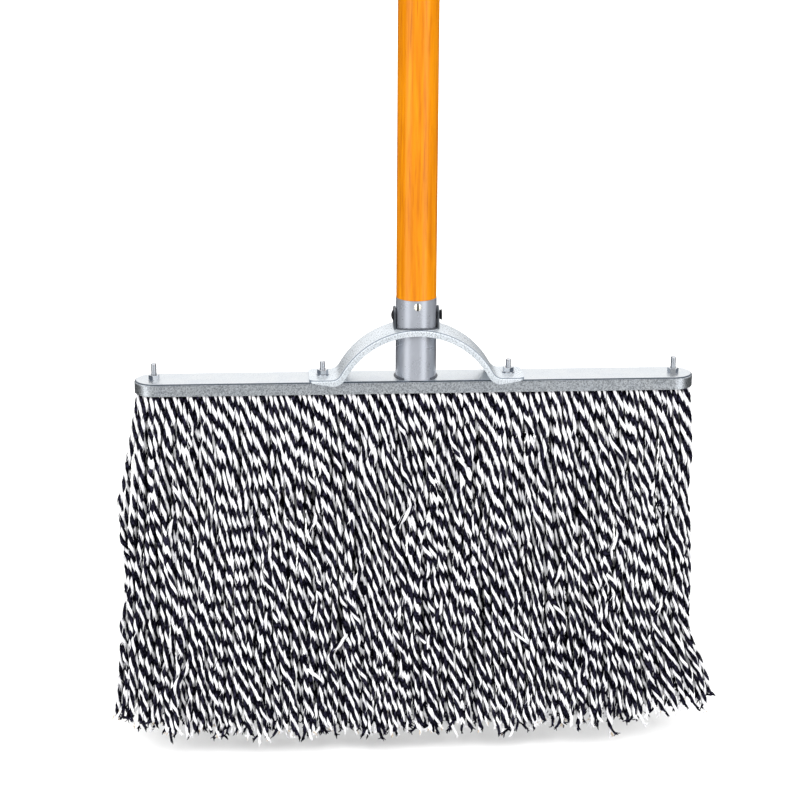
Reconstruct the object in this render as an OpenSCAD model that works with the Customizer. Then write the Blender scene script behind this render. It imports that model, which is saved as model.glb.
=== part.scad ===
// Flat yarn mop: a wooden handle in a steel socket, an arched steel bridge, and a
// channel-shaped plate with a lower bar that clamps a pack of twisted cotton yarn.
// The frame: +Z up, X along the plate, -Y is the front, and the yarn's tips are at z = 0.

/* [Plate] */
// Length of the plate over its round ends
plate_l = 400; // [300:10:600]
// Depth of the plate from front to back
plate_d = 30; // [30:1:31]
// Height of the plate with its turned-down flange
plate_h = 9; // [8:0.5:10]
// Thickness of the plate's sheet
plate_t = 1.2; // [1:0.1:1.5]

/* [Bridge] */
// Width of the bridge from front to back
bridge_w = 34; // [34:0.5:36]
// Thickness of the bridge's sheet
bridge_t = 1.5; // [1.2:0.1:1.5]
// Height of the bridge's turned-down flange
bridge_flange_h = 4.5; // [4:0.5:5]
// Height of the crown above the plate
crown_h = 37.5; // [36:0.5:40]
// Outer radius of the arch
crown_r = 62; // [60:1:64]
// Radius where a leg turns into its foot
foot_r = 6; // [5:0.5:7]
// Reach of a foot from the middle of the plate
foot_reach = 76.5; // [75:0.5:84]

/* [Socket and handle] */
// Outer diameter of the socket tube
tube_d = 29; // [28:0.5:29]
// Wall of the socket tube
tube_wall = 1.5; // [1.2:0.1:2]
// Height of the socket tube above the plate
tube_h = 58; // [57:1:70]
// Diameter of the wooden handle
handle_d = 28.5; // [27:0.5:29]
// Length of the wooden handle with its tenon
handle_l = 1200; // [900:50:1400]
// Length of the tenon inside the socket
tenon_l = 50; // [40:1:52]
// Diameter of the hole for hanging
hang_hole_d = 8; // [6:0.5:10]

/* [Clamp] */
// Distance of a bridge bolt from the middle
bolt_mid_x = 66.5; // [66.5:0.5:70]
// Distance of an end bolt from the end of the plate
bolt_end_inset = 14; // [12:0.5:16]
// Thread diameter of the bolts
bolt_d = 4; // [3:0.5:5]
// Length of a bolt under its head
bolt_l = 25; // [25:1:30]
// Thickness of the lower clamp bar
bar_t = 1.5; // [1.2:0.1:2]
// Depth of the lower clamp bar
bar_d = 14; // [12:1:16]
// Height of the folded yarn between the tape and the bar
fold_h = 9.7; // [8:0.1:10]

/* [Yarn] */
// Drop from the plate's lower lip to the yarn's tips
yarn_drop = 279; // [200:1:350]
// Half width of the yarn at its tips
yarn_tip_x = 222; // [200:1:230]
// Half depth of the yarn at its tips
yarn_tip_y = 20; // [18:1:30]

/* [Hidden] */

$fn = 64;
gap = 0.1;              // between pieces that only rest on each other
past = 1;               // how far a cutter runs past a face
plate_z = yarn_drop + plate_h;
bolt_end_x = plate_l / 2 - bolt_end_inset;
bolt_hole_d = bolt_d + 0.5;

bend_out_r = 2;         // outer radius of the plate's folded edge
bend_in_r = bend_out_r - plate_t;

crown_cz = crown_h - crown_r;                       // centre of the arch above the plate
foot_cz = bridge_t + foot_r;                        // centre of the leg's fillet
foot_cx = sqrt(pow(crown_r + foot_r, 2) - pow(foot_cz - crown_cz, 2));
tube_hole_d = tube_d + 0.4;
ear_w = 12;
ear_top = crown_h + 14;
ear_x = tube_hole_d / 2;
rivet_z = crown_h + 7.2;
rivet_d = 5;
rivet_hole_d = rivet_d + 0.1;
rivet_head_d = 8;
rivet_head_t = 1.6;
rivet_set_t = 2;
ear_out_x = ear_x + bridge_t;

tenon_d = tube_d - 2 * tube_wall - 0.1;
handle_top = tube_h + handle_l - tenon_l;
hang_drop = 45;         // hanging hole below the handle's top
screw_z = tube_h - 4.3;
screw_d = 3.5;
screw_hole_d = screw_d + 0.1;
screw_l = 12;
screw_head_d = 5.6;
screw_head_h = 1.5;
screw_slot_w = 1.3;

tape_t = 1;
tape_top = -plate_t - gap;
fold_top = tape_top - tape_t;
bar_top = fold_top - fold_h;
bar_bottom = bar_top - bar_t;
pack_r = plate_d / 2 - plate_t - 0.3;               // half depth of the yarn in the channel
head_d = 8;
head_h = 2.4;
thread_chamfer = 0.5;
nut_flats = 7;
nut_h = 3.2;
nut_bore_d = bolt_d + 0.1;
washer_d = 9;
washer_t = 0.8;

neck_bottom = bar_bottom - head_h - 0.6;            // the folded yarn ends below the bolt heads
swing_r = 1.4;                                      // round top of the hanging yarn
swing_y = pack_r;                                   // the axis it swings about
swing_z = neck_bottom - 0.3 - swing_r;
bulge_y = 17.5;                                     // half depth of the yarn a little lower
bulge_drop = 35;
half_gap = 0.2;                                     // between the front and back yarn

// A flat stadium, l long over its round ends.
module stadium(l, d, h) {
    linear_extrude(h) union() {
        square([l - d, d], center = true);
        for (side = [-1, 1]) translate([side * (l - d) / 2, 0]) circle(d = d);
    }
}

// One child at each of the four bolts.
module at_bolts() {
    for (x = [-bolt_end_x, -bolt_mid_x, bolt_mid_x, bolt_end_x]) translate([x, 0, 0]) children();
}

// The side view of all that is under one surface of the bridge, depth below its outer surface.
module under_bridge(depth) {
    deep = crown_r + 2 * depth;
    translate([0, crown_cz]) circle(crown_r - depth, $fn = 128);
    for (side = [0, 1]) mirror([side, 0]) {
        translate([0, -deep]) square([foot_reach + depth, deep + bridge_t - depth]);
        difference() {
            polygon([[0, crown_cz], [foot_cx, foot_cz], [foot_cx, -deep], [0, -deep]]);
            translate([foot_cx, foot_cz]) circle(foot_r + depth, $fn = 128);
        }
    }
}

// The side view of the bridge, from its outer surface to depth below it.
module bridge_side(depth) {
    intersection() {
        difference() {
            under_bridge(0);
            under_bridge(depth);
        }
        translate([-foot_reach, bridge_t - depth]) square([2 * foot_reach, crown_h + depth]);
    }
}

// The side view of a flange, which runs out towards the end of each foot.
module flange_side() {
    low = bridge_t - bridge_flange_h;
    far = foot_reach + past;
    difference() {
        bridge_side(bridge_flange_h);
        for (side = [0, 1]) mirror([side, 0])
            polygon([[foot_cx, low], [far, 0], [far, low - past], [foot_cx, low - past]]);
    }
}

// A slab w wide in Y of a side view, from y forwards.
module slab(y, w) {
    translate([0, y + w, 0]) rotate([90, 0, 0]) linear_extrude(w) children();
}

// One upright tab beside the tube, with a round top.
module ear() {
    translate([ear_x, 0, 0]) rotate([90, 0, 90]) linear_extrude(bridge_t) union() {
        translate([-ear_w / 2, crown_h - 2.4]) square([ear_w, ear_top - ear_w / 2 - crown_h + 2.4]);
        translate([0, ear_top - ear_w / 2]) circle(d = ear_w);
    }
}

module bridge_bracket() {
    foot_corner = 5;
    color("gainsboro") translate([0, 0, plate_z]) difference() {
        union() {
            slab(-bridge_w / 2, bridge_w) bridge_side(bridge_t);
            slab(-bridge_w / 2, bridge_t) flange_side();
            slab(bridge_w / 2 - bridge_t, bridge_t) flange_side();
            for (side = [0, 1]) mirror([side, 0, 0]) ear();
        }
        translate([0, 0, crown_h - 6]) cylinder(d = tube_hole_d, h = 30);
        translate([-50, 0, rivet_z]) rotate([0, 90, 0]) cylinder(d = rivet_hole_d, h = 100);
        for (x = [-bolt_mid_x, bolt_mid_x]) translate([x, 0, -past]) cylinder(d = bolt_hole_d, h = 6);
        for (sx = [0, 1], sy = [0, 1]) mirror([sx, 0, 0]) mirror([0, sy, 0]) foot_corner_cut(foot_corner);
    }
}

// Cuts a round corner of radius r on one foot, seen from above.
module foot_corner_cut(r) {
    translate([foot_reach - r, bridge_w / 2 - r, -bridge_flange_h]) difference() {
        cube([r + past, r + past, 2 * bridge_flange_h]);
        translate([0, 0, -past]) cylinder(r = r, h = 2 * bridge_flange_h + 2 * past);
    }
}

// Half of the plate's cross-section, from the middle outwards.
module plate_half_section() {
    r = plate_d / 2;
    difference() {
        union() {
            translate([0, -plate_h]) square([r, plate_h - bend_out_r]);
            translate([0, -bend_out_r]) square([r - bend_out_r, bend_out_r]);
            translate([r - bend_out_r, -bend_out_r]) circle(bend_out_r);
        }
        translate([0, -plate_h - past]) square([r - plate_t, plate_h + past - plate_t - bend_in_r]);
        translate([0, -plate_t - bend_in_r - past]) square([r - plate_t - bend_in_r, bend_in_r + past]);
        translate([r - plate_t - bend_in_r, -plate_t - bend_in_r]) circle(bend_in_r);
    }
}

module top_plate() {
    straight = plate_l - plate_d;
    color("silver") translate([0, 0, plate_z]) difference() {
        union() {
            for (side = [0, 1]) mirror([0, side, 0]) translate([-straight / 2, 0, 0])
                rotate([90, 0, 90]) linear_extrude(straight) plate_half_section();
            for (side = [0, 1]) mirror([side, 0, 0]) translate([straight / 2, 0, 0])
                rotate([0, 0, -90]) rotate_extrude(angle = 180) plate_half_section();
        }
        at_bolts() translate([0, 0, -plate_t - past]) cylinder(d = bolt_hole_d, h = plate_t + 2 * past);
    }
}

module socket_tube() {
    color("slategray") translate([0, 0, plate_z]) difference() {
        cylinder(d = tube_d, h = tube_h);
        translate([0, 0, -past]) cylinder(d = tube_d - 2 * tube_wall, h = tube_h + 2 * past);
        translate([-tube_d, 0, rivet_z]) rotate([0, 90, 0]) cylinder(d = rivet_hole_d, h = 2 * tube_d);
        translate([0, 0, screw_z]) rotate([90, 0, 0]) cylinder(d = screw_hole_d, h = tube_d);
    }
}

// The bead that welds one side of the tube to the plate.
module weld_bead(side) {
    bead = 1.2;
    sweep = 100;
    color("dimgray") translate([0, 0, plate_z])
        rotate([0, 0, (side > 0 ? 0 : 180) - sweep / 2]) rotate_extrude(angle = sweep)
            translate([tube_d / 2, 0]) intersection() {
                circle(bead, $fn = 32);
                square(2 * bead);
            }
}

module handle() {
    shaft_l = handle_l - tenon_l - handle_d / 2;
    color("orange") translate([0, 0, plate_z]) difference() {
        union() {
            translate([0, 0, tube_h - tenon_l]) cylinder(d = tenon_d, h = tenon_l + past);
            translate([0, 0, tube_h + 0.05]) cylinder(d = handle_d, h = shaft_l);
            translate([0, 0, tube_h + 0.05 + shaft_l]) sphere(d = handle_d, $fn = 96);
        }
        translate([-handle_d, 0, rivet_z]) rotate([0, 90, 0]) cylinder(d = rivet_hole_d, h = 2 * handle_d);
        translate([0, 0, screw_z]) rotate([90, 0, 0]) cylinder(d = screw_hole_d, h = handle_d);
        translate([0, handle_d, handle_top - hang_drop]) rotate([90, 0, 0])
            cylinder(d = hang_hole_d, h = 2 * handle_d);
    }
}

// The rivet through both ears, the tube and the tenon: a pan head on the left, a set head on the right.
module cross_rivet() {
    color("#222222") translate([0, 0, plate_z + rivet_z]) rotate([0, 90, 0]) union() {
        translate([0, 0, -ear_out_x - past / 2]) cylinder(d = rivet_d, h = 2 * ear_out_x + past);
        translate([0, 0, -ear_out_x - rivet_head_t]) intersection() {
            cylinder(d = rivet_head_d, h = rivet_head_t);
            translate([0, 0, rivet_head_d * 0.75]) sphere(d = rivet_head_d * 1.5, $fn = 96);
        }
        translate([0, 0, ear_out_x]) cylinder(d1 = rivet_d + 0.6, d2 = rivet_head_d, h = rivet_set_t);
    }
}

// The slotted screw that holds the tenon, seen on the front of the tube.
module handle_screw() {
    dome_r = (pow(screw_head_d / 2, 2) + pow(screw_head_h, 2)) / (2 * screw_head_h);
    tip_l = 3;
    color("gainsboro") translate([0, -tube_d / 2, plate_z + screw_z]) rotate([90, 0, 0]) difference() {
        union() {
            intersection() {
                cylinder(d = screw_head_d, h = screw_head_h);
                translate([0, 0, screw_head_h - dome_r]) sphere(r = dome_r, $fn = 96);
            }
            translate([0, 0, tip_l - screw_l]) cylinder(d = screw_d, h = screw_l - tip_l + 0.5);
            translate([0, 0, -screw_l]) cylinder(d1 = 0.4, d2 = screw_d, h = tip_l);
        }
        translate([-screw_slot_w / 2, -screw_head_d, screw_head_h - 0.9])
            cube([screw_slot_w, 2 * screw_head_d, past + 0.9]);
    }
}

module washer(x) {
    color("gainsboro") translate([x, 0, plate_z + bridge_t]) difference() {
        cylinder(d = washer_d, h = washer_t);
        translate([0, 0, -past]) cylinder(d = bolt_hole_d, h = washer_t + 2 * past);
    }
}

// A hex nut with chamfered corners, its lower face at z above the plate, turned where it stopped.
module nut(x, z, turn) {
    corner = nut_flats / cos(30) / 2;
    in_r = nut_flats / 2;
    out_r = corner + 0.05;
    bevel = (out_r - in_r) * tan(30);
    color("gainsboro") translate([x, 0, plate_z + z]) difference() {
        intersection() {
            rotate([0, 0, turn]) cylinder(r = corner, h = nut_h, $fn = 6);
            rotate_extrude() polygon([
                [0, 0], [in_r, 0], [out_r, bevel], [out_r, nut_h - bevel], [in_r, nut_h], [0, nut_h]
            ]);
        }
        translate([0, 0, -past]) cylinder(d = nut_bore_d, h = nut_h + 2 * past);
    }
}

// A bolt that comes up from under the bar, with a low round head.
module bolt(x) {
    color("gainsboro") translate([x, 0, plate_z + bar_bottom]) union() {
        translate([0, 0, -head_h]) cylinder(d1 = head_d * 0.7, d2 = head_d, h = head_h * 0.6);
        translate([0, 0, -head_h * 0.4]) cylinder(d = head_d, h = head_h * 0.4);
        cylinder(d = bolt_d, h = bolt_l - thread_chamfer);
        translate([0, 0, bolt_l - thread_chamfer])
            cylinder(d1 = bolt_d, d2 = bolt_d - 2 * thread_chamfer, h = thread_chamfer);
    }
}

module clamp_bar() {
    color("silver") translate([0, 0, plate_z + bar_bottom]) difference() {
        stadium(plate_l - plate_d + bar_d, bar_d, bar_t);
        at_bolts() translate([0, 0, -past]) cylinder(d = bolt_d + 0.2, h = bar_t + 2 * past);
    }
}

// The canvas tape that the yarn is sewn to.
module header_tape() {
    tape_d = 2 * pack_r - 2;
    color("ivory") translate([0, 0, plate_z + fold_top]) difference() {
        stadium(plate_l - plate_d + tape_d, tape_d, tape_t);
        at_bolts() translate([0, 0, -past]) cylinder(d = bolt_d + 0.2, h = tape_t + 2 * past);
    }
}

// The yarn where it folds over the bar, with its necks in front of and behind the bar.
module yarn_fold() {
    straight = plate_l - plate_d;
    neck_in = bar_d + 0.4;
    color("dimgray") translate([0, 0, plate_z]) difference() {
        translate([0, 0, neck_bottom]) stadium(straight + 2 * pack_r, 2 * pack_r, fold_top - neck_bottom);
        translate([0, 0, neck_bottom - past])
            stadium(straight + neck_in, neck_in, bar_top - neck_bottom + past);
        at_bolts() translate([0, 0, bar_top - past]) cylinder(d = bolt_d + 0.2, h = fold_h + 2 * past);
    }
}

// The front or back half of the hanging yarn: a round lip about the swing axis, then a curtain.
module yarn_curtain(side) {
    top_x = plate_l / 2 - 1;
    span = 2 * yarn_tip_x + 2;
    color("gray") intersection() {
        translate([0, yarn_tip_y + past, 0]) rotate([90, 0, 0]) linear_extrude(2 * yarn_tip_y + 2 * past)
            polygon([
                [-yarn_tip_x, 0], [yarn_tip_x, 0],
                [top_x, plate_z + neck_bottom], [-top_x, plate_z + neck_bottom]
            ]);
        mirror([0, side < 0 ? 1 : 0, 0]) translate([-span / 2, 0, 0]) rotate([90, 0, 90])
            linear_extrude(span) union() {
                translate([swing_y, plate_z + swing_z]) circle(swing_r);
                polygon([
                    [half_gap, 0], [yarn_tip_y, 0], [bulge_y, plate_z + swing_z - bulge_drop],
                    [swing_y + swing_r, plate_z + swing_z], [half_gap, plate_z + swing_z]
                ]);
            }
    }
}

handle();
socket_tube();
weld_bead(-1);  // weld_left
weld_bead(1);  // weld_right
bridge_bracket();
cross_rivet();
handle_screw();
top_plate();
washer(-bolt_mid_x);  // washer_left
washer(bolt_mid_x);  // washer_right
clamp_bar();
bolt(-bolt_end_x);  // bolt_end_left
bolt(-bolt_mid_x);  // bolt_mid_left
bolt(bolt_mid_x);  // bolt_mid_right
bolt(bolt_end_x);  // bolt_end_right
nut(-bolt_end_x, 0, 20);  // nut_end_left
nut(-bolt_mid_x, bridge_t + washer_t, 8);  // nut_mid_left
nut(bolt_mid_x, bridge_t + washer_t, 38);  // nut_mid_right
nut(bolt_end_x, 0, 50);  // nut_end_right
header_tape();
yarn_fold();
yarn_curtain(-1);  // yarn_front
yarn_curtain(1);  // yarn_back
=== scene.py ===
"""Looks of a flat yarn mop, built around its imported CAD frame: metal finishes, threaded bolts,
a grained and varnished handle, and some 400 two-ply strands of black and white cotton yarn."""

import math

import bpy
import numpy as np
from mathutils import Matrix, Vector
from mathutils.bvhtree import BVHTree


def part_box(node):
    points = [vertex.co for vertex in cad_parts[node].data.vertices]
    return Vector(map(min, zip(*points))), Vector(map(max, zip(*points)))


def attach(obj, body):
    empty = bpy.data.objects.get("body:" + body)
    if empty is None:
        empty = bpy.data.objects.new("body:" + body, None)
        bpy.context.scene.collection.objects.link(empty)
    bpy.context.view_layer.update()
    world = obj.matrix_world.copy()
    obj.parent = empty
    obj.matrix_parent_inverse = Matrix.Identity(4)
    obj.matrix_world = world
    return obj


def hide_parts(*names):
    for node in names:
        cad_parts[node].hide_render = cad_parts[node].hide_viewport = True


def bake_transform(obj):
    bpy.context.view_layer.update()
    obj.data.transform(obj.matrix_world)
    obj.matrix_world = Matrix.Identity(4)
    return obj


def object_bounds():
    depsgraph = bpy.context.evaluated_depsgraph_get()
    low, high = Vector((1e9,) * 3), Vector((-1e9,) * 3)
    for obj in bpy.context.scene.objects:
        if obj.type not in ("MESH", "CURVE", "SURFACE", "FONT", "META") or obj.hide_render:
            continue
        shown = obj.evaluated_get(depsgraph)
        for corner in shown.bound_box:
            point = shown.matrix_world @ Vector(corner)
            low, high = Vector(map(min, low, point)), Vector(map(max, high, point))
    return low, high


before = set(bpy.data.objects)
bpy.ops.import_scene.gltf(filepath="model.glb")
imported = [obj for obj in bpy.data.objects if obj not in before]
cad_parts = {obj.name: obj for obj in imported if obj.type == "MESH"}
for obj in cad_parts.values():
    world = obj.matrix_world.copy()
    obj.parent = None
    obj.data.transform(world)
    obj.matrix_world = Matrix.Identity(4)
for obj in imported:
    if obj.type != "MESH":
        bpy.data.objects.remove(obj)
CAD_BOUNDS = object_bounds()

MM = 0.001
SEED = 20240611


# ---------------------------------------------------------------- places, all from the frame

def lo_hi(node):
    """A CAD node's lowest and highest corners, as arrays in metres."""
    low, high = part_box(node)
    return np.array(low), np.array(high)


PLATE_LOW, PLATE_HIGH = lo_hi("top_plate")
PLATE_TOP = PLATE_HIGH[2]
LIP_Z = PLATE_LOW[2]
PLATE_HALF_L = PLATE_HIGH[0]
PLATE_HALF_D = PLATE_HIGH[1]
FOLD_HIGH = lo_hi("yarn_fold")[1]
BAR_UNDERSIDE = lo_hi("clamp_bar")[0][2]
CURTAIN_HALF_L = lo_hi("yarn_front")[1][0]


# ---------------------------------------------------------------- materials

WHITE = (1.0, 1.0, 1.0)              # a tint that changes nothing
# a painted dark reflection in the bridge's bends
BRIDGE_BEND_PAINTED_SHADE = (0.22, 0.25, 0.30)
# a painted dark reflection along the plate's bend, and faint painted shade on its upright sides
PLATE_BEND_PAINTED_SHADE = (0.10, 0.12, 0.15)
PLATE_SIDE_PAINTED_SHADE = (0.96, 0.98, 1.0)
# painted shade on the sides of nuts, washers and bolts
NUT_SIDE_PAINTED_SHADE = (0.16, 0.18, 0.21)
# painted shade in the screw's slot
SLOT_PAINTED_SHADE = (0.02, 0.018, 0.012)


def new_material(name):
    """An empty node material: (material, nodes, links, the principled shader)."""
    mat = bpy.data.materials.new(name)
    mat.use_nodes = True
    nodes, links = mat.node_tree.nodes, mat.node_tree.links
    return mat, nodes, links, nodes["Principled BSDF"]


def stretched(nodes, links, scale):
    """Object coordinates scaled by (x, y, z)."""
    coords = nodes.new("ShaderNodeTexCoord")
    mapping = nodes.new("ShaderNodeMapping")
    mapping.inputs["Scale"].default_value = scale
    links.new(coords.outputs["Object"], mapping.inputs["Vector"])
    return mapping.outputs["Vector"]


def noise(nodes, links, vector, scale, detail=4.0, roughness=0.55, distortion=0.0):
    """A noise texture's value at a vector."""
    tex = nodes.new("ShaderNodeTexNoise")
    tex.inputs["Scale"].default_value = scale
    tex.inputs["Detail"].default_value = detail
    tex.inputs["Roughness"].default_value = roughness
    tex.inputs["Distortion"].default_value = distortion
    links.new(vector, tex.inputs["Vector"])
    return tex.outputs["Fac"]


def ramp(nodes, links, value, *stops):
    """A colour ramp over value, with stops of (position, (r, g, b))."""
    node = nodes.new("ShaderNodeValToRGB")
    elements = node.color_ramp.elements
    while len(elements) < len(stops):
        elements.new(0.5)
    for element, (position, colour) in zip(elements, stops):
        element.position = position
        element.color = (*colour, 1.0)
    links.new(value, node.inputs["Fac"])
    return node.outputs["Color"]


def spread(nodes, links, value, low, high, from_low=0.3, from_high=0.7):
    """value, remapped from its usual span to low..high."""
    node = nodes.new("ShaderNodeMapRange")
    node.inputs["From Min"].default_value = from_low
    node.inputs["From Max"].default_value = from_high
    node.inputs["To Min"].default_value = low
    node.inputs["To Max"].default_value = high
    links.new(value, node.inputs["Value"])
    return node.outputs["Result"]


def mixed(nodes, links, kind, factor, a, b):
    """Two colour outputs mixed by a number or a value output."""
    node = nodes.new("ShaderNodeMix")
    node.data_type = "RGBA"
    node.blend_type = kind
    if isinstance(factor, (int, float)):
        node.inputs["Factor"].default_value = factor
    else:
        links.new(factor, node.inputs["Factor"])
    links.new(a, node.inputs[6])
    links.new(b, node.inputs[7])
    return node.outputs[2]


def bump(nodes, links, height, strength, distance):
    """The surface's normal, tilted by a height."""
    node = nodes.new("ShaderNodeBump")
    node.inputs["Strength"].default_value = strength
    node.inputs["Distance"].default_value = distance
    links.new(height, node.inputs["Height"])
    return node.outputs["Normal"]


def varnished_wood():
    """Wood under orange varnish: long grain, a slower figure and dark pores."""
    mat, nodes, links, shader = new_material("varnished_wood")
    along = stretched(nodes, links, (1.0, 1.0, 0.045))
    grain = noise(nodes, links, along, 320.0, 6.0, 0.6, 0.6)
    figure = noise(nodes, links, stretched(nodes, links, (1.0, 1.0, 0.16)), 42.0, 3.0, 0.5, 1.4)
    pores = noise(nodes, links, stretched(nodes, links, (1.0, 1.0, 0.03)), 900.0, 2.0, 0.5)
    base = ramp(nodes, links, grain,
                (0.30, (0.48, 0.140, 0.0008)), (0.52, (0.58, 0.198, 0.0014)), (0.72, (0.66, 0.245, 0.0025)))
    shade = ramp(nodes, links, figure,
                 (0.30, (0.86, 0.78, 0.66)), (0.50, (1.0, 0.97, 0.95)), (0.70, WHITE))
    dark = ramp(nodes, links, pores,
                (0.28, (0.66, 0.50, 0.36)), (0.40, WHITE), (1.0, WHITE))
    colour = mixed(nodes, links, "MULTIPLY", 1.0, base, shade)
    colour = mixed(nodes, links, "MULTIPLY", 0.6, colour, dark)
    links.new(colour, shader.inputs["Base Color"])
    links.new(spread(nodes, links, grain, 0.36, 0.48), shader.inputs["Roughness"])
    links.new(bump(nodes, links, grain, 0.22, 0.0004), shader.inputs["Normal"])
    shader.inputs["Specular IOR Level"].default_value = 0.0
    shader.inputs["Coat Weight"].default_value = 0.7
    shader.inputs["Coat Roughness"].default_value = 0.10
    return mat


def facing(nodes, links, axis):
    """How far a face looks along an axis of its own object, from 0 to 1."""
    coords = nodes.new("ShaderNodeTexCoord")
    axes = nodes.new("ShaderNodeSeparateXYZ")
    links.new(coords.outputs["Normal"], axes.inputs["Vector"])
    size = nodes.new("ShaderNodeMath")
    size.operation = "ABSOLUTE"
    links.new(axes.outputs[axis], size.inputs[0])
    return size.outputs["Value"]


def plated(name, light, dark, rough_low, rough_high, fine=900.0, depth=0.00006, strength=0.35,
           metallic=1.0, flecked=0.75, axis=None, stops=(), grit=(0.0, 0.0)):
    """Zinc or nickel plate: two tones in soft clouds, fine grain and small changes of roughness.
    stops are tints by how far a face looks along an axis, which paint shade and dark reflections: painted
    shade on the sides and painted dark reflections in the bends. grit is the depth of the dark grain across
    that axis, and along it."""
    mat, nodes, links, shader = new_material(name)
    even = stretched(nodes, links, (1.0, 1.0, 1.0))
    clouds = noise(nodes, links, even, 70.0, 4.0, 0.6, 0.3)
    grain = noise(nodes, links, even, fine, 3.0, 0.6)
    colour = ramp(nodes, links, clouds, (0.32, dark), (0.66, light))
    flecks = ramp(nodes, links, grain, (0.30, (0.80, 0.81, 0.83)), (0.62, WHITE))
    colour = mixed(nodes, links, "MULTIPLY", flecked, colour, flecks)
    if axis is not None:
        turned = facing(nodes, links, axis)
        # painted shade and painted dark reflections, by which way the face looks along the axis
        colour = mixed(nodes, links, "MULTIPLY", 1.0, colour, ramp(nodes, links, turned, *stops))
        coarse = ramp(nodes, links, grain, (0.36, (0.25, 0.26, 0.28)), (0.60, WHITE))
        depth_of_grain = spread(nodes, links, turned, grit[0], grit[1], 0.2, 0.9)
        colour = mixed(nodes, links, "MULTIPLY", depth_of_grain, colour, coarse)
    links.new(colour, shader.inputs["Base Color"])
    shader.inputs["Metallic"].default_value = metallic
    links.new(spread(nodes, links, grain, rough_low, rough_high), shader.inputs["Roughness"])
    links.new(bump(nodes, links, grain, strength, depth), shader.inputs["Normal"])
    return mat


def painted(name, light, dark, rough, metallic=0.0, coat=0.0, gloss=0.5):
    """Paint or oxide with faint clouds and an orange-peel surface."""
    mat, nodes, links, shader = new_material(name)
    even = stretched(nodes, links, (1.0, 1.0, 1.0))
    clouds = noise(nodes, links, even, 60.0, 4.0, 0.6)
    peel = noise(nodes, links, even, 1400.0, 2.0, 0.5)
    links.new(ramp(nodes, links, clouds, (0.30, dark), (0.68, light)), shader.inputs["Base Color"])
    shader.inputs["Metallic"].default_value = metallic
    shader.inputs["Specular IOR Level"].default_value = gloss
    shader.inputs["Coat Weight"].default_value = coat
    shader.inputs["Coat Roughness"].default_value = 0.2
    links.new(spread(nodes, links, clouds, rough - 0.05, rough + 0.06), shader.inputs["Roughness"])
    links.new(bump(nodes, links, peel, 0.2, 0.00008), shader.inputs["Normal"])
    return mat


def screw_nickel(x, half_slot):
    """Nickel plate, with painted shade in the slot that runs up and down at x."""
    mat = plated("screw_nickel", (0.98, 0.95, 0.86), (0.90, 0.86, 0.76), 0.22, 0.34, metallic=0.5)
    nodes, links = mat.node_tree.nodes, mat.node_tree.links
    shader = nodes["Principled BSDF"]
    axes = nodes.new("ShaderNodeSeparateXYZ")
    links.new(stretched(nodes, links, (1.0, 1.0, 1.0)), axes.inputs["Vector"])
    away = nodes.new("ShaderNodeMath")
    away.operation = "COMPARE"
    links.new(axes.outputs["X"], away.inputs[0])
    away.inputs[1].default_value = x
    away.inputs[2].default_value = half_slot
    metal = shader.inputs["Base Color"].links[0].from_socket
    # painted shade in the slot, across a band at x
    slot_shade = ramp(nodes, links, away.outputs["Value"], (0.0, WHITE), (1.0, SLOT_PAINTED_SHADE))
    links.new(mixed(nodes, links, "MULTIPLY", 1.0, metal, slot_shade), shader.inputs["Base Color"])
    return mat


def cotton(name, light, dark, sheen, sheen_tint, gloss=0.2, patches=(240.0, 0.30, 0.62)):
    """One ply of cotton yarn: fibres that run with the ply, and small clouds of tone."""
    mat, nodes, links, shader = new_material(name)
    fibres = noise(nodes, links, stretched(nodes, links, (1.0, 1.0, 0.30)), 3600.0, 3.0, 0.65, 0.4)
    clouds = noise(nodes, links, stretched(nodes, links, (1.0, 1.0, 1.0)), patches[0], 3.0, 0.6)
    tone = ramp(nodes, links, clouds, (patches[1], dark), (patches[2], light))
    streaks = ramp(nodes, links, fibres, (0.32, (0.70, 0.70, 0.71)), (0.60, WHITE))
    links.new(mixed(nodes, links, "MULTIPLY", 0.8, tone, streaks), shader.inputs["Base Color"])
    shader.inputs["Roughness"].default_value = 0.92
    shader.inputs["Specular IOR Level"].default_value = gloss
    shader.inputs["Sheen Weight"].default_value = sheen
    shader.inputs["Sheen Roughness"].default_value = 0.45
    shader.inputs["Sheen Tint"].default_value = (*sheen_tint, 1.0)
    links.new(bump(nodes, links, fibres, 0.7, 0.0003), shader.inputs["Normal"])
    return mat


def canvas():
    """Unbleached canvas: a plain weave from two crossed waves, with slubs."""
    mat, nodes, links, shader = new_material("canvas")
    even = stretched(nodes, links, (1.0, 1.0, 1.0))
    heights = []
    for direction in ("X", "Y"):
        wave = nodes.new("ShaderNodeTexWave")
        wave.bands_direction = direction
        wave.inputs["Scale"].default_value = 520.0
        wave.inputs["Distortion"].default_value = 0.6
        links.new(even, wave.inputs["Vector"])
        heights.append(wave.outputs["Color"])
    weave = mixed(nodes, links, "MULTIPLY", 1.0, heights[0], heights[1])
    slubs = noise(nodes, links, even, 160.0, 4.0, 0.6)
    links.new(ramp(nodes, links, slubs, (0.3, (0.50, 0.46, 0.37)), (0.7, (0.66, 0.62, 0.52))),
              shader.inputs["Base Color"])
    shader.inputs["Roughness"].default_value = 0.9
    links.new(bump(nodes, links, weave, 0.6, 0.0003), shader.inputs["Normal"])
    return mat


def give(piece, *materials):
    """Puts these materials on a piece, in place of its own."""
    piece.data.materials.clear()
    for mat in materials:
        piece.data.materials.append(mat)


def soften(node, width):
    """Rounds a CAD node's sharp edges, as pressing and tumbling leave them."""
    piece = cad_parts[node]
    weld = piece.modifiers.new("weld", "WELD")
    weld.merge_threshold = 0.00001
    edge = piece.modifiers.new("edge", "BEVEL")
    edge.width = width
    edge.segments = 2
    edge.limit_method = "ANGLE"
    edge.angle_limit = math.radians(35.0)
    edge.harden_normals = True
    return piece


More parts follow.
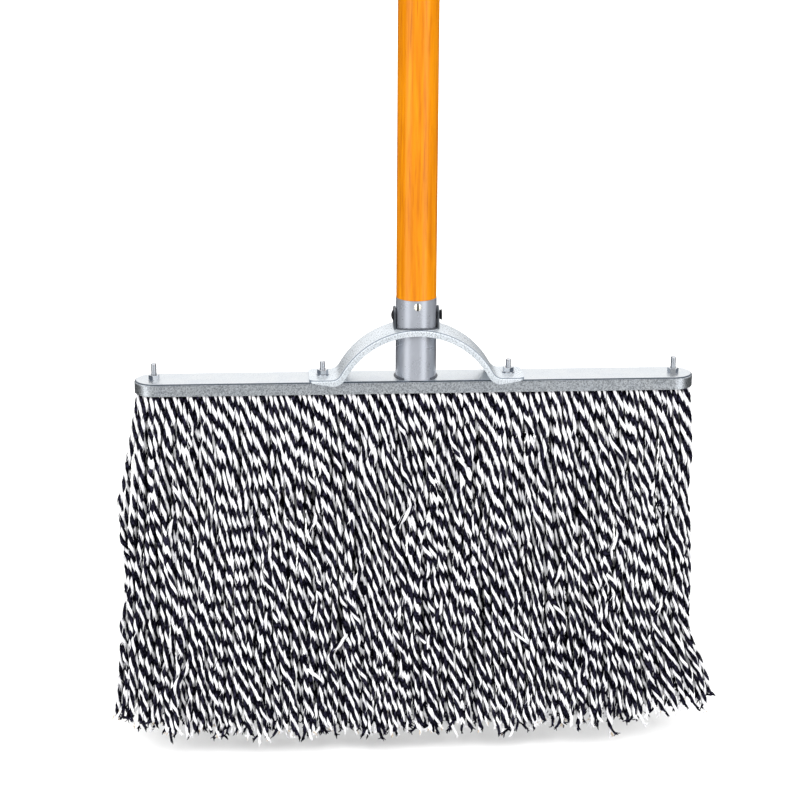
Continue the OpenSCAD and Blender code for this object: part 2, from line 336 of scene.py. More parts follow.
def metal_nodes():
    """Finishes the CAD nodes that show as they are, and returns the finishes of drawn metal pieces."""
    # the bridge's bends get a painted dark reflection
    zinc = plated("bridge_zinc", (0.70, 0.74, 0.78), (0.60, 0.65, 0.69), 0.24, 0.34, metallic=0.5,
                  flecked=0.15, strength=0.1,
                  axis="Y", stops=((0.10, WHITE), (0.30, BRIDGE_BEND_PAINTED_SHADE),
                                   (0.50, BRIDGE_BEND_PAINTED_SHADE), (0.75, WHITE)), grit=(0.0, 0.25))
    steel = plated("ear_steel", (0.30, 0.32, 0.35), (0.20, 0.22, 0.24), 0.30, 0.42)
    # the plate's sides get faint painted shade, and its bend a painted dark reflection
    plate = plated("plate_zinc", (0.95, 0.98, 1.0), (0.89, 0.93, 0.97), 0.26, 0.44, fine=1100.0,
                   depth=0.00012, strength=0.5, axis="Z",
                   stops=((0.12, PLATE_SIDE_PAINTED_SHADE), (0.45, PLATE_SIDE_PAINTED_SHADE), (0.58, PLATE_BEND_PAINTED_SHADE),
                          (0.84, PLATE_BEND_PAINTED_SHADE), (0.96, WHITE)), grit=(0.60, 0.04))
    # painted shade on the sides of the nuts, washers and bolts, which face along X
    bright = plated("fastener_zinc", (0.93, 0.95, 0.98), (0.74, 0.77, 0.81), 0.07, 0.15, strength=0.15,
                    axis="X", stops=((0.42, WHITE), (0.60, NUT_SIDE_PAINTED_SHADE),
                                     (0.80, NUT_SIDE_PAINTED_SHADE), (1.0, (0.45, 0.48, 0.52))))
    strip = plated("bar_zinc", (0.62, 0.63, 0.65), (0.46, 0.47, 0.49), 0.35, 0.5)
    low, high = lo_hi("handle_screw")
    nickel = screw_nickel((low[0] + high[0]) / 2, 0.65 * MM)
    tube = painted("tube_paint", (0.47, 0.495, 0.55), (0.42, 0.445, 0.495), 0.28, metallic=0.65, coat=0.35)
    weld = painted("weld_paint", (0.12, 0.13, 0.15), (0.07, 0.075, 0.09), 0.35, metallic=0.6)
    oxide = painted("black_oxide", (0.012, 0.012, 0.014), (0.005, 0.005, 0.006), 0.55, gloss=0.2)
    give(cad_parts["handle"], varnished_wood())
    give(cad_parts["socket_tube"], tube)
    give(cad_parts["top_plate"], plate)
    give(soften("clamp_bar", 0.0003), strip)
    give(soften("handle_screw", 0.0002), nickel)
    give(soften("cross_rivet", 0.0004), oxide)
    for side in ("left", "right"):
        give(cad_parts["weld_" + side], weld)
        give(soften("washer_" + side, 0.00012), bright)
    for place in ("end_left", "mid_left", "mid_right", "end_right"):
        give(soften("nut_" + place, 0.00015), bright)
    return zinc, steel, weld, bright


# ---------------------------------------------------------------- meshes

def mesh_piece(name, verts, faces, materials, face_material):
    """A smooth mesh object from arrays: verts (n, 3), quads (m, 4), and a material number a quad."""
    verts = np.asarray(verts, np.float32)
    faces = np.asarray(faces, np.int32)
    data = bpy.data.meshes.new(name)
    for mat in materials:
        data.materials.append(mat)
    data.vertices.add(len(verts))
    data.vertices.foreach_set("co", verts.ravel())
    data.loops.add(faces.size)
    data.loops.foreach_set("vertex_index", faces.ravel())
    data.polygons.add(len(faces))
    data.polygons.foreach_set("loop_start", np.arange(0, faces.size, faces.shape[1], dtype=np.int32))
    data.polygons.foreach_set("material_index", np.asarray(face_material, np.int32))
    data.polygons.foreach_set("use_smooth", np.full(len(faces), True))
    data.update(calc_edges=True)
    data.validate()
    piece = bpy.data.objects.new(name, data)
    bpy.context.scene.collection.objects.link(piece)
    return piece


def crease(piece, degrees):
    """Shades a smooth mesh with creases where it turns by more than an angle."""
    data = piece.data
    sharp = np.zeros(len(data.edges), bool)
    normals = {}
    faces = np.zeros((len(data.polygons), 3), np.float32)
    data.polygons.foreach_get("normal", faces.ravel())
    for polygon in data.polygons:
        for key in polygon.edge_keys:
            normals.setdefault(key, []).append(faces[polygon.index])
    limit = math.cos(math.radians(degrees))
    for k, edge in enumerate(data.edges):
        pair = normals.get(tuple(sorted(edge.vertices)), ())
        sharp[k] = len(pair) == 2 and float(pair[0] @ pair[1]) < limit
    data.attributes.new("sharp_edge", "BOOLEAN", "EDGE").data.foreach_set("value", sharp)


# ---------------------------------------------------------------- yarn

YARN_R = 2.0 * MM
PITCH = 14.8 * MM
TURN_R = 4.0 * MM            # how sharply a strand turns down beside the bar
HALF_STRAIGHT = PLATE_HALF_L - PLATE_HALF_D
# One ply's outline, a closed lobe: angles from its middle in degrees, and radii as shares of YARN_R.
FINE_LOBE = ((-90, 0.50), (-58, 0.86), (-22, 1.0), (22, 1.0), (58, 0.86), (90, 0.50))
PLAIN_LOBE = ((-90, 0.52), (-38, 0.97), (38, 0.97), (90, 0.52))
DARK_SHARE = 7.0, 23.0       # degrees by which the dark ply is wider each way, at the lip and at the tips
# Of the outer and the inner layer of strands, in YARN_R:
LAYER_INSET = 0.97, 2.75     # how far its middle lies inside the folded yarn's side
LAYER_SPACING = 1.98, 1.9    # from strand to strand
LAYER_DEPTH = 1.15, 2.9      # how far its middle lies under the tape
PHASE_STEP, PHASE_NOISE = 0.33, 0.18     # of a turn, from one strand to the next
SPREAD_FULL = (CURTAIN_HALF_L - PLATE_HALF_L) * 1.12     # a little more than the CAD curtain's
SPREAD_DEPTH = 0.245         # how far below the lip the shares of it that follow are reached
SPREAD_LEFT, SPREAD_RIGHT = (0.76, 1.05), (0.30, 1.3)    # each with how late it comes, as a power
RIGHT_FLARE = 15 * MM        # more spread at the right end, near the tips
STRAY_SHARE = 0.15           # of the outer strands
FIBRES = 44                  # loose ones on a ply
HAIR_RADII = np.array([0.56, 0.50, 0.38, 0.12]) * MM
RAW_SHARE = 0.2              # of the white plies' wisps, which are beige
GROUPS = 6                   # pieces of yarn a side, from left to right


def ease(t):
    """A smooth step, from 0 at t = 0 to 1 at t = 1."""
    t = np.clip(t, 0.0, 1.0)
    return t * t * (3 - 2 * t)


def drift(rng, s, step, size):
    """A smooth random number along s, which changes about every step."""
    knots = rng.normal(0, size, int(s[-1] / step) + 3)
    place = s / step
    low = place.astype(int)
    t = ease(place - low)
    return knots[low] * (1 - t) + knots[low + 1] * t


def ring_of_strands(radius, spacing):
    """Bases of strands evenly spaced round a stadium: rows of x, y and the outward normal."""
    side, arc = 2 * HALF_STRAIGHT, math.pi * radius
    count = int(round((2 * side + 2 * arc) / spacing))
    places = []
    for k in range(count):
        t = (k + 0.5) * (2 * side + 2 * arc) / count
        if t < side:
            places.append((-HALF_STRAIGHT + t, -radius, 0.0, -1.0))
        elif t < side + arc:
            a = (t - side) / radius - math.pi / 2
            out_x, out_y = math.cos(a), math.sin(a)
            places.append((HALF_STRAIGHT + radius * out_x, radius * out_y, out_x, out_y))
        elif t < 2 * side + arc:
            places.append((HALF_STRAIGHT - (t - side - arc), radius, 0.0, 1.0))
        else:
            a = (t - 2 * side - arc) / radius + math.pi / 2
            out_x, out_y = math.cos(a), math.sin(a)
            places.append((-HALF_STRAIGHT + radius * out_x, radius * out_y, out_x, out_y))
    return places


def lean(x, y, d, layer):
    """Sideways move of the yarn at x, a depth d below the lip: it spreads downwards and gathers in locks."""
    u = x / PLATE_HALF_L
    t = np.clip(d / SPREAD_DEPTH, 0.0, 1.2)
    share, late = SPREAD_LEFT if u < 0 else SPREAD_RIGHT
    out = np.sign(u) * np.abs(u) ** 1.6 * (share * SPREAD_FULL * t ** late)
    flare = RIGHT_FLARE * ease((d - 0.172) / 0.08) * ease((u - 0.70) / 0.30)
    out = out + flare * (1.0 if y < 0 else 0.5)
    shift = (0.0 if y < 0 else 2.1) + 2.7 * layer
    locks = 1.4 * MM * np.sin(x / (7.6 * MM) + 0.9 + shift + d / 0.045)
    locks = locks + 1.0 * MM * np.sin(x / (3.9 * MM) + 2.3 + shift - d / 0.031)
    slow = 2.8 * MM * np.sin(x / (23 * MM) + 0.4 + shift + d / 0.062)
    return out + ease(d / 0.07) * (locks + slow)


def stand_out(x, y, d):
    """Outward move of the yarn: a soft bulge below the lip, with folds."""
    shift = 0.0 if y < 0 else 1.3
    folds = 1.2 * MM * np.sin(x / (5.3 * MM) + shift + d / 0.05)
    folds = folds + 1.0 * MM * np.sin(x / (11.7 * MM) + 2 * shift - d / 0.08)
    return 2.4 * MM * (1 - np.exp(-d / 0.014)) + ease(d / 0.06) * folds + 1.6 * MM * ease(d / 0.28)


def tip_height(x):
    """Height of the tips along the mop: lowest near the middle, higher at both ends."""
    u = abs(x) / PLATE_HALF_L
    return 12.5 * MM + (5 if x > 0 else 2) * MM * u ** 2 + 10 * MM * float(ease((u - 0.72) / 0.28))


class Mesh:
    """Gathers quads of many closed tubes, each with one material number."""

    def __init__(self):
        self.verts, self.faces, self.marks, self.count = [], [], [], 0

    def tubes(self, rings, mark=0):
        """Adds k tubes from rings of points, an array (k, n, m, 3) with m even, and closes their ends."""
        k, n, m, _ = rings.shape
        size = n * m + 2
        ring = np.arange(n * m).reshape(n, m)
        a, b = ring[:-1], ring[1:]
        sides = np.stack([a, np.roll(a, -1, 1), np.roll(b, -1, 1), b], -1).reshape(-1, 4)
        step = np.arange(0, m, 2)
        first, last = np.full(len(step), n * m), np.full(len(step), n * m + 1)
        near = np.stack([ring[0][(step + 2) % m], ring[0][step + 1], ring[0][step], first], -1)
        far = np.stack([ring[-1][step], ring[-1][step + 1], ring[-1][(step + 2) % m], last], -1)
        one = np.concatenate([sides, near, far])
        ends = np.stack([rings[:, 0].mean(1), rings[:, -1].mean(1)], 1)
        self.verts.append(np.concatenate([rings.reshape(k, n * m, 3), ends], 1).reshape(-1, 3))
        self.faces.append((one[None] + self.count + size * np.arange(k)[:, None, None]).reshape(-1, 4))
        self.marks.append(np.full(k * len(one), mark))
        self.count += k * size

    def tube(self, rings, mark=0):
        self.tubes(rings[None], mark)

    def piece(self, name, materials):
        return mesh_piece(name, np.concatenate(self.verts), np.concatenate(self.faces), materials,
                          np.concatenate(self.marks))


def unit(v):
    return v / np.maximum(np.linalg.norm(v, axis=-1, keepdims=True), 1e-12)


def square_frame(path, across):
    """Two unit vectors square to a path at each point, the first as near across as it can be."""
    along = unit(np.gradient(path, axis=0))
    first = unit(across - along * (along @ across)[:, None])
    return first, np.cross(along, first)


def around(path, first, second, angles, radii):
    """Rings of points about a path, at (n, m) angles and radii."""
    return path[:, None] + (np.cos(angles) * radii)[..., None] * first[:, None] + (
        np.sin(angles) * radii)[..., None] * second[:, None]


def thin_tube(path, radii, sides, across):
    """Rings of points of a round tube about a path, with a radius for each of its points."""
    first, second = square_frame(path, across)
    angles = np.broadcast_to(np.arange(sides) * 2 * math.pi / sides, (len(path), sides))
    return around(path, first, second, angles, np.repeat(radii[:, None], sides, 1))


def wander(start, heading, length, count, rng, curl):
    """A short path of count points that curls at random and droops."""
    droop = 25.0
    step = length / (count - 1)
    turn = rng.normal(0, curl, 3)
    points = [start]
    heading = unit(heading)
    for _ in range(count - 1):
        heading = unit(heading + turn * step + np.array([0, 0, -droop * step]))
        points.append(points[-1] + heading * step)
    return np.array(points)


def fray(meshes, centre, heading, across, angle, rng):
    """A strand's end: its two plies part, and each opens into wisps."""
    second = np.cross(heading, across)
    for mesh, ply in ((meshes["black"], 0.0), (meshes["white"], math.pi)):
        out = math.cos(angle + ply) * across + math.sin(angle + ply) * second
        spin = math.sin(angle + ply) * across - math.cos(angle + ply) * second
        count = 7
        path = wander(centre - heading * 1.5 * MM + out * YARN_R * 0.45,
                      heading + 0.3 * out + 0.35 * spin + rng.normal(0, 0.18, 3),
                      rng.uniform(2.5, 8.5) * MM, count, rng, 70.0)
        radii = YARN_R * np.linspace(0.56, 0.44, count) * rng.uniform(0.85, 1.1)
        radii = radii * rng.uniform(0.9, 1.1, count)
        mesh.tube(thin_tube(path, radii, 6, across))
        onward = unit(path[-1] - path[-2])
        for _ in range(rng.integers(3, 6)):
            root = path[-1] - onward * 1.0 * MM + rng.normal(0, 0.4 * MM, 3)
            hair = wander(root, onward + rng.normal(0, 0.35, 3),
                          rng.uniform(1.6, 4.5) * MM, len(HAIR_RADII), rng, 140.0)
            raw = mesh is meshes["white"] and rng.random() < RAW_SHARE
            mesh.tube(thin_tube(hair, HAIR_RADII, 4, across), 1 if raw else 0)


def fuzz(mesh, s, path, first, second, turns, size, middle, rng):
    """Loose fibres that lie on a ply and cross to its neighbour."""
    count = FIBRES
    start = rng.uniform(20 * MM, s[-1] - 9 * MM, count)
    t = np.linspace(0, 1, 4)
    at = start[:, None] + rng.uniform(2.5 * MM, 8 * MM, count)[:, None] * t

    def along(values):
        return np.stack([np.interp(at, s, values[:, k]) for k in range(3)], -1)

    turn = 2 * math.pi * np.interp(start, s, turns) + math.radians(middle) + rng.uniform(-1.1, 1.1, count)
    turn = turn[:, None] + rng.uniform(-1.5, 0.9, count)[:, None] * t
    cos, sin = np.cos(turn)[..., None], np.sin(turn)[..., None]
    outward = cos * along(first) + sin * along(second)
    tangent = cos * along(second) - sin * along(first)
    rise = 1.0 + (rng.uniform(0.0, 0.28, count) * (rng.random(count) < 0.5))[:, None] * np.sin(math.pi * t)
    centre = along(path) + outward * (np.interp(at, s, size) * rise)[..., None]
    width = (rng.uniform(0.8, 1.5, count)[:, None] * np.array([0.13, 0.19, 0.17, 0.05]) * MM)[..., None]
    rings = np.stack([centre + tangent * width, centre + outward * width * 0.7,
                      centre - tangent * width, centre - outward * width * 0.7], 2)
    mesh.tubes(rings)


def strand(meshes, base, radius, layer, phase, rng):
    """One strand from under the tape, over the bar's side, down past the lip to its frayed tip."""
    x, y, nx, ny = base
    lobe, per_turn = (FINE_LOBE, 10) if layer == 0 else (PLAIN_LOBE, 7)
    normal, across = np.array([nx, ny, 0.0]), np.array([-ny, nx, 0.0])
    fold_z = FOLD_HIGH[2] - LAYER_DEPTH[layer] * YARN_R
    flat, bend = radius - TURN_R, math.pi / 2 * TURN_R
    tip = tip_height(x) + rng.normal(0, 2.6 * MM) + layer * rng.uniform(0, 5 * MM)
    tip = max(tip, 1.0 * MM) + 8 * MM
    total = flat + bend + (fold_z - TURN_R - tip)
    pitch = PITCH * (1 + rng.normal(0, 0.03))
    s = np.linspace(0, total, int(total / pitch * per_turn) + 1)
    arc = np.clip((s - flat) / TURN_R, 0, math.pi / 2)
    reach = np.minimum(s, flat) + TURN_R * np.sin(arc)
    z = fold_z - TURN_R * (1 - np.cos(arc)) - np.maximum(s - flat - bend, 0)
    d = np.maximum(LIP_Z - z, 0)
    loose = ease(d / 0.05)
    stray = layer == 0 and rng.random() < STRAY_SHARE
    own = loose * (drift(rng, s, 24 * MM, (0.6 + 1.8 * stray) * MM) + drift(rng, s, 60 * MM, 0.8 * MM))
    lift = loose * (drift(rng, s, 30 * MM, 0.75 * MM) + rng.normal(0, 0.35 * MM) + stray * 1.6 * MM)
    outward = (1.0, 0.5)[layer] * stand_out(x, y, d) + lift
    sideways = lean(x, y, d, layer) + own * (abs(ny) + 0.3)
    path = np.array([x, y, 0.0]) + normal * (reach + outward - radius)[:, None]
    path = path + np.array([1.0, 0, 0]) * sideways[:, None]
    path[:, 2] = z
    first, second = square_frame(path, across)
    turns = phase - s / pitch + drift(rng, s, 9 * MM, 0.06) + drift(rng, s, 45 * MM, 0.10)
    turns = turns + 0.15 * np.sin(x / (19 * MM) + d / 0.055)
    size = YARN_R * (1 + drift(rng, s, 8 * MM, 0.05)) * (1 - 0.13 * ease((0.004 - d) / 0.006))
    share = DARK_SHARE[0] + (DARK_SHARE[1] - DARK_SHARE[0]) * ease(d / 0.2) + drift(rng, s, 16 * MM, 4.0)
    spans, shares = np.array([a for a, _ in lobe]), np.array([r for _, r in lobe])
    for mesh, middle, wider in ((meshes["black"], 0.0, share), (meshes["white"], 180.0, -share)):
        angles = np.radians(middle + spans * (1 + wider[:, None] / 90))
        lie = 2 * math.pi * turns[:, None] + angles + rng.normal(0, 0.07, (len(s), len(lobe)))
        thick = (1 + drift(rng, s, 6 * MM, 0.05))[:, None] * rng.normal(1.0, 0.035, (len(s), len(lobe)))
        mesh.tube(around(path, first, second, lie, size[:, None] * shares * thick))
        if layer == 0:
            fuzz(mesh, s, path, first, second, turns, size, middle, rng)
    fray(meshes, path[-1], unit(path[-1] - path[-3]), first[-1], 2 * math.pi * turns[-1], rng)


def yarn():
    """All the strands, in pieces that hang in front and behind, from left to right."""
    rng = np.random.default_rng(SEED)
    looks = {
        "black": (cotton("yarn_black", (0.028, 0.026, 0.048), (0.0004, 0.0004, 0.0010), 0.0,
                         (0.5, 0.6, 1.0), 0.0, (520.0, 0.44, 0.68)),),
        "white": (cotton("yarn_white", (0.93, 0.93, 0.935), (0.62, 0.62, 0.65), 0.1, (1.0, 1.0, 1.0)),
                  cotton("yarn_raw", (0.62, 0.52, 0.40), (0.46, 0.37, 0.27), 0.15, (1.0, 0.95, 0.9))),
    }
    parts = {}
    for layer in (0, 1):
        radius = FOLD_HIGH[1] - YARN_R * LAYER_INSET[layer]
        phase = 0.0
        for base in ring_of_strands(radius, LAYER_SPACING[layer] * YARN_R):
            phase += PHASE_STEP + rng.normal(0, PHASE_NOISE)
            part = min(int((base[0] + PLATE_HALF_L) / (2 * PLATE_HALF_L) * GROUPS), GROUPS - 1)
            side = "front" if base[1] < 0 else "back"
            meshes = parts.setdefault((side, part + 1), {"black": Mesh(), "white": Mesh()})
            strand(meshes, base, radius, layer, phase, rng)
    for (side, part), meshes in sorted(parts.items()):
        for colour, mesh in meshes.items():
            piece = mesh.piece(f"yarn_{colour}_{side}_{part}", looks[colour])
            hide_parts("yarn_" + side, "yarn_fold")
            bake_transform(piece)


# ---------------------------------------------------------------- bridge

SHEET = 1.5 * MM             # the bridge's pressed sheet
SHEET_BEND = 2.0 * MM        # outer radius where it turns down into its flanges
FOOT_CORNER = 5.0 * MM
BRIDGE_HIGH = lo_hi("bridge_bracket")[1]
TUBE_R = lo_hi("socket_tube")[1][0]


def bridge_line(surface):
    """Points (x, z) along the top of the bridge, evenly spaced and smoothed a little."""
    reach, half_w = BRIDGE_HIGH[0], BRIDGE_HIGH[1]
    xs = np.linspace(-reach + 0.05 * MM, reach - 0.05 * MM, 700)
    beside = np.where(np.abs(xs) < 0.3 * reach, half_w - 1.2 * MM, half_w / 2)
    above, down = BRIDGE_HIGH[2] + MM, Vector((0, 0, -1))
    tops = [surface.ray_cast(Vector((x, y, above)), down)[0] for x, y in zip(xs, beside)]
    line = np.array([(p.x, p.z) for p in tops])
    run = np.concatenate([[0], np.cumsum(np.linalg.norm(np.diff(line, axis=0), axis=1))])
    at = np.linspace(0, run[-1], 190)
    line = np.stack([np.interp(at, run, line[:, 0]), np.interp(at, run, line[:, 1])], -1)
    for _ in range(6):
        line[1:-1] = (line[:-2] + 2 * line[1:-1] + line[2:]) / 4
    return line


def bridge_section(w, deep):
    """The pressed sheet's section, w half wide and deep at its flanges: points (y, depth)."""
    bend, lip, inner_r = SHEET_BEND, 0.3 * MM, SHEET_BEND - SHEET
    top = [(w * 0.33, 0.0), (w * 0.66, 0.0)]
    turn = np.linspace(0, math.pi / 2, 7)
    outer = [(w - bend + bend * math.sin(a), min(bend * (1 - math.cos(a)), deep)) for a in turn]
    edge = [(w, max(deep - lip, bend * 0.9)), (w - lip, deep)]
    edge += [(w - SHEET + lip, deep), (w - SHEET, deep - lip)]
    inner = [(w - SHEET, min(SHEET + inner_r * 1.2, deep)), (w - SHEET - inner_r, SHEET)]
    half = top + outer + edge + inner + [(w * 0.4, SHEET)]
    return half + [(-y, d) for y, d in reversed(half)]


def bridge(finish):
    """The pressed bridge with its true bend radii, swept along the CAD bracket's side view."""
    reach, half_w = BRIDGE_HIGH[0], BRIDGE_HIGH[1]
    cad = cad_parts["bridge_bracket"].data
    surface = BVHTree.FromPolygons([v.co for v in cad.vertices], [p.vertices for p in cad.polygons])
    line = bridge_line(surface)
    along = unit(np.gradient(line, axis=0))
    normal = np.stack([-along[:, 1], along[:, 0]], -1)
    rings = []
    for (x, z), (nx, nz) in zip(line, normal):
        inside = Vector((x - nx * 9 * MM, half_w - SHEET / 2, z - nz * 9 * MM))
        hit = surface.ray_cast(inside, Vector((nx, 0, nz)))[0]
        deep = max(math.hypot(hit.x - x, hit.z - z) if hit else 0.0, SHEET + 0.05 * MM)
        over = max(abs(x) - (reach - FOOT_CORNER), 0.0)
        w = half_w - FOOT_CORNER + math.sqrt(max(FOOT_CORNER ** 2 - over ** 2, 0.0))
        rings.append([(x - nx * d, y, z - nz * d) for y, d in bridge_section(w, deep)])
    mesh = Mesh()
    mesh.tube(np.array(rings)[::-1])
    piece = mesh.piece("pressed_bridge", (finish,))
    crease(piece, 40)
    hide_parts("bridge_bracket")
    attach(piece, "root")
    return line


def ears(line, finish):
    """The two upright ears beside the tube, which the cross rivet goes through."""
    root, ear_r = line[:, 1].max() - 2.4 * MM, 6.0 * MM
    centre_z = BRIDGE_HIGH[2] - ear_r
    turn = np.linspace(0, math.pi, 17)
    round_top = [(ear_r * math.cos(a), centre_z + ear_r * math.sin(a)) for a in turn]
    outline = np.array([(ear_r, root)] + round_top + [(-ear_r, root), (0, root)])
    middle = np.array([0, BRIDGE_HIGH[2] - 1.3 * ear_r])
    chamfer, inset = 0.25 * MM, 0.93
    layers = ((0, inset), (chamfer, 1.0), (SHEET - chamfer, 1.0), (SHEET, inset))
    mesh = Mesh()
    for side in (-1, 1):
        rings = [[(side * (TUBE_R + 0.2 * MM + x), y, z) for y, z in (outline - middle) * k + middle]
                 for x, k in layers]
        mesh.tube(np.array(rings)[::side])
    piece = mesh.piece("bridge_ears", (finish,))
    crease(piece, 40)
    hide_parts("bridge_bracket")
    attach(piece, "root")


def crown_weld(line, finish):
    """The fillet of weld round the tube where it comes up through the bridge."""
    mesh = Mesh()
    rng = np.random.default_rng(SEED + 1)
    radius = TUBE_R + 0.25 * MM
    for half in (0, 1):
        a = np.linspace(0, math.pi, 97) + math.pi * half
        bead = (0.95 + 0.10 * np.sin(a * 26) + rng.normal(0, 0.04, len(a))) * MM
        x, y = radius * np.cos(a), radius * np.sin(a)
        z = np.interp(x, line[:, 0], line[:, 1]) + 0.1 * MM
        path = np.stack([x, y, z], -1)
        mesh.tube(thin_tube(path, bead, 10, np.array([0.0, 0.0, 1.0])))
    piece = mesh.piece("crown_weld", (finish,))
    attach(piece, "root")


# ---------------------------------------------------------------- fasteners and tape

def turned(profile, sides):
    """Rings of points of a surface turned about Z from (radius, height) points."""
    a = np.arange(sides) * 2 * math.pi / sides
    return np.array([[(r * math.cos(t), r * math.sin(t), z) for t in a] for r, z in profile])


def bolt(place, finish):
    """A bolt with a real 0.7 mm thread and a low domed head, in its CAD node's place."""
    low, high = lo_hi("bolt_" + place)
    x, y = (low + high)[:2] / 2
    head_r = (high - low)[0] / 2
    major, pitch = 2.0 * MM, 0.7 * MM
    minor = major - 0.61 * pitch
    under = BAR_UNDERSIDE
    sides, per_turn = 28, 8
    n = int((high[2] - under) / pitch * per_turn) + 1
    z = np.linspace(under, high[2], n)
    a = np.arange(sides) * 2 * math.pi / sides
    along = (z[:, None] / pitch - a[None, :] / (2 * math.pi)) % 1.0
    ridge = np.clip(1.25 - 2.5 * np.abs(along - 0.5), 0.0, 1.0)
    radius = minor + (major - minor) * ridge
    tip = np.clip((high[2] - z) / (0.55 * MM), 0.0, 1.0)
    radius = np.minimum(radius, (minor - 0.25 * MM) + (major - minor + 0.25 * MM) * tip[:, None])
    rings = np.stack([x + radius * np.cos(a), y + radius * np.sin(a), np.repeat(z[:, None], sides, 1)], -1)
    mesh = Mesh()
    mesh.tube(rings)
    arc = np.linspace(0.12, 1.45, 12)
    dome = [(head_r * math.sin(t), under - (under - low[2]) * math.cos(t)) for t in arc]
    profile = dome + [(head_r, under - 0.15 * MM), (head_r - 0.1 * MM, under), (major, under)]
    mesh.tube(turned(profile, 40) + np.array([x, y, 0]))
    piece = mesh.piece("threaded_bolt_" + place, (finish,))
    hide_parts("bolt_" + place)
    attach(piece, "clamp")


def tape():
    """The canvas header tape, pressed wavy by the strands under it."""
    low, high = lo_hi("header_tape")
    radius = (high - low)[1] / 2
    inner = (high - low)[0] / 2 - radius
    long, wide = 400, 13     # points along the tape and across it
    xs = np.linspace(low[0], high[0], long)
    half = np.sqrt(np.maximum(radius ** 2 - np.maximum(np.abs(xs) - inner, 0) ** 2, 1e-10))
    v = np.linspace(-1, 1, wide)
    px = np.repeat(xs[:, None], wide, 1)
    py = half[:, None] * v[None, :]
    wave = 0.18 * MM * np.cos(px * 2 * math.pi / (2.05 * YARN_R)) * (1 - np.abs(v[None, :]) ** 4)
    top = np.stack([px, py, high[2] - 0.2 * MM + wave * 0.6], -1)
    under = np.stack([px, py, low[2] + 0.1 * MM + wave * 0.4], -1)[:, ::-1]
    mesh = Mesh()
    mesh.tube(np.concatenate([top, under], 1))
    piece = mesh.piece("sewn_header_tape", (canvas(),))
    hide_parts("header_tape")
    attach(piece, "clamp")


# ---------------------------------------------------------------- main

bridge_zinc, ear_steel, weld_steel, bright_zinc = metal_nodes()
crown_line = bridge(bridge_zinc)
crown_weld(crown_line, weld_steel)
ears(crown_line, ear_steel)
for spot in ("end_left", "mid_left", "mid_right", "end_right"):
    bolt(spot, bright_zinc)
tape()
yarn()


# ---------------------------------------------------------------- stage, lights, camera

SKY_FRONT, SKY_BACK = 0.12, 1.0      # radiance of the studio's sky, in front and behind
FRONT_LOW, SIDES = 0.42, 0.08        # of what lies below its horizon, in front and all round
BOXES = 1.1                          # of the two soft boxes
# Degrees from the front, then where each is full on either side of that, and where it has faded out.
LEFT_BOX, RIGHT_BOX, FRONT_BAND = (-57.0, 6.0, 24.0), (42.0, 5.0, 20.0), (0.0, 25.0, 80.0)
KEY, FILL, SUN_WIDTH = 2.05, 1.75, 34.0
FLOOR_HALF, FLOOR_GAP = 6.0, 0.004   # half the floor's width, and how far it lies under the mop


def stage():
    """A pale floor just below the mop, which takes its shadow."""
    floor = bpy.data.meshes.new("floor")
    corners = [(x * FLOOR_HALF, y * FLOOR_HALF, 0) for x, y in ((-1, -1), (1, -1), (1, 1), (-1, 1))]
    floor.from_pydata(corners, [], [(0, 1, 2, 3)])
    piece = bpy.data.objects.new("floor", floor)
    piece.location.z = CAD_BOUNDS[0][2] - FLOOR_GAP
    bpy.context.scene.collection.objects.link(piece)
    mat, nodes, links, shader = new_material("floor")
    shader.inputs["Base Color"].default_value = (0.95, 0.95, 0.95, 1.0)
    shader.inputs["Roughness"].default_value = 0.9
    give(piece, mat)
    piece.visible_glossy = False


def soft_sun(name, direction, strength, spread_degrees):
    """Even light from a wide part of the sky, which shines along direction."""
    data = bpy.data.lights.new(name, "SUN")
    data.energy = strength
    data.angle = math.radians(spread_degrees)
    light = bpy.data.objects.new(name, data)
    light.visible_glossy = False
    light.rotation_mode = "QUATERNION"
    light.rotation_quaternion = Vector(direction).to_track_quat("-Z", "Y")
    bpy.context.scene.collection.objects.link(light)


def band(nodes, links, around_z, azimuth, inner, outer):
    """1 for sky directions within inner degrees of an azimuth from the front, 0 beyond outer degrees."""
    dot = nodes.new("ShaderNodeVectorMath")
    dot.operation = "DOT_PRODUCT"
    links.new(around_z, dot.inputs[0])
    dot.inputs[1].default_value = (math.sin(math.radians(azimuth)), -math.cos(math.radians(azimuth)), 0.0)
    return spread(nodes, links, dot.outputs["Value"], 0.0, 1.0,
                  math.cos(math.radians(outer)), math.cos(math.radians(inner)))


def total(nodes, links, base, *terms):
    """A base number plus the sum of (value output, factor) pairs."""
    result = None
    for value, factor in terms:
        node = nodes.new("ShaderNodeMath")
        node.operation = "MULTIPLY_ADD"
        links.new(value, node.inputs[0])
        node.inputs[1].default_value = factor
        node.inputs[2].default_value = base
        if result is not None:
            links.new(result, node.inputs[2])
        result = node.outputs["Value"]
    return result


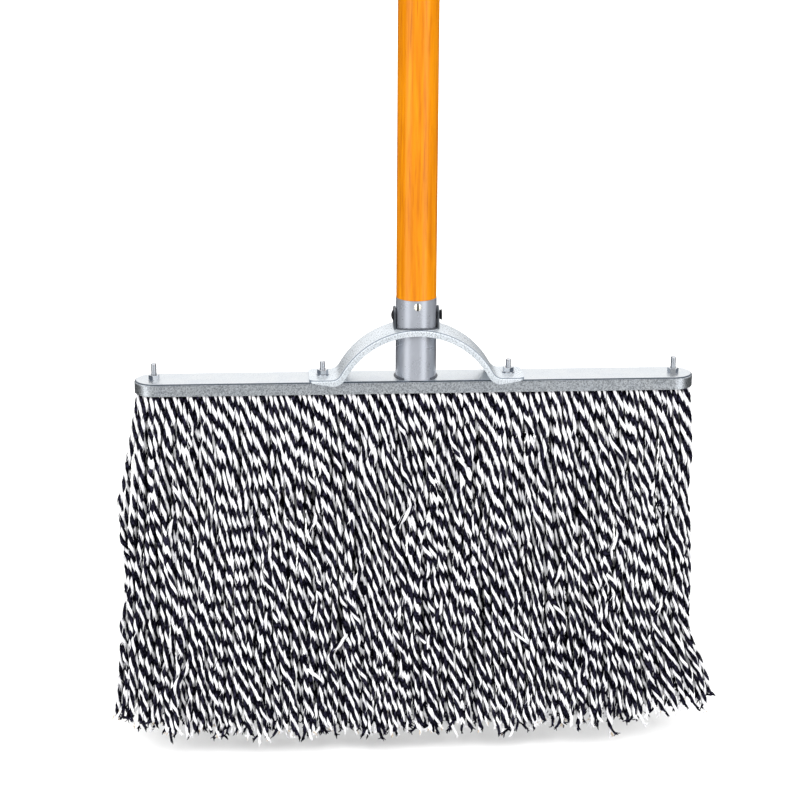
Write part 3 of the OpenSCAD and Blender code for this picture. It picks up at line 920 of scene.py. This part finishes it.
def lights():
    """A backdrop that only the camera sees as white. What the mop reflects and is lit by is a sky that is
    bright behind and darker in front, with two tall soft boxes; and it is lit by two soft suns."""
    world = bpy.data.worlds.new("studio")
    world.use_nodes = True
    nodes, links = world.node_tree.nodes, world.node_tree.links
    coords = nodes.new("ShaderNodeTexCoord")
    axes = nodes.new("ShaderNodeSeparateXYZ")
    links.new(coords.outputs["Generated"], axes.inputs["Vector"])
    flat = nodes.new("ShaderNodeVectorMath")
    flat.operation = "MULTIPLY"
    flat.inputs[1].default_value = (1.0, 1.0, 0.0)
    links.new(coords.outputs["Generated"], flat.inputs[0])
    level = nodes.new("ShaderNodeVectorMath")
    level.operation = "NORMALIZE"
    links.new(flat.outputs["Vector"], level.inputs[0])
    around_z = level.outputs["Vector"]
    left, right, front = (band(nodes, links, around_z, *b) for b in (LEFT_BOX, RIGHT_BOX, FRONT_BAND))
    behind = total(nodes, links, 0.0, (axes.outputs["Y"], 0.8), (axes.outputs["Z"], 1.0))
    sky = spread(nodes, links, behind, SKY_FRONT, SKY_BACK, -0.55, 0.5)
    upper = total(nodes, links, 0.0, (sky, 1.0), (left, 0.5 * BOXES), (right, 0.5 * BOXES))
    lower = total(nodes, links, SIDES, (front, FRONT_LOW), (left, BOXES), (right, BOXES))
    height = spread(nodes, links, axes.outputs["Z"], 0.0, 1.0, -0.05, 0.18)
    lit = nodes.new("ShaderNodeMix")
    links.new(height, lit.inputs["Factor"])
    links.new(lower, lit.inputs["A"])
    links.new(upper, lit.inputs["B"])
    path = nodes.new("ShaderNodeLightPath")
    seen = nodes.new("ShaderNodeMix")
    links.new(path.outputs["Is Camera Ray"], seen.inputs["Factor"])
    links.new(lit.outputs["Result"], seen.inputs["A"])
    seen.inputs["B"].default_value = 1.0
    links.new(seen.outputs["Result"], nodes["Background"].inputs["Strength"])
    nodes["Background"].inputs["Color"].default_value = (1.0, 1.0, 1.0, 1.0)
    bpy.context.scene.world = world
    bpy.context.scene.view_settings.view_transform = "Standard"
    soft_sun("key", (0.42, 0.90, -0.95), KEY, SUN_WIDTH)
    soft_sun("fill", (-0.38, 0.90, -0.90), FILL, SUN_WIDTH)


def camera():
    """The photograph's view: a little from the left and above, on the head of the mop."""
    distance, elevation, yaw, roll = 1.5, math.radians(16.94), math.radians(4.09), math.radians(0.35)
    target = Vector((-0.0111, 0.0, PLATE_TOP - 0.01835))
    level = math.cos(elevation)
    ahead = Vector((math.sin(yaw) * level, math.cos(yaw) * level, -math.sin(elevation)))
    data = bpy.data.cameras.new("camera")
    data.sensor_width = 36.0
    data.lens = 94.1
    data.clip_start, data.clip_end = 0.05, 60.0
    cam = bpy.data.objects.new("camera", data)
    right = Vector((math.cos(yaw), -math.sin(yaw), 0.0))
    up = right.cross(ahead)
    side = right * math.cos(roll) + up * math.sin(roll)
    cam.matrix_world = Matrix((side, side.cross(ahead), -ahead)).transposed().to_4x4()
    cam.location = target - ahead * distance
    bpy.context.scene.collection.objects.link(cam)
    bpy.context.scene.camera = cam


stage()
lights()
camera()
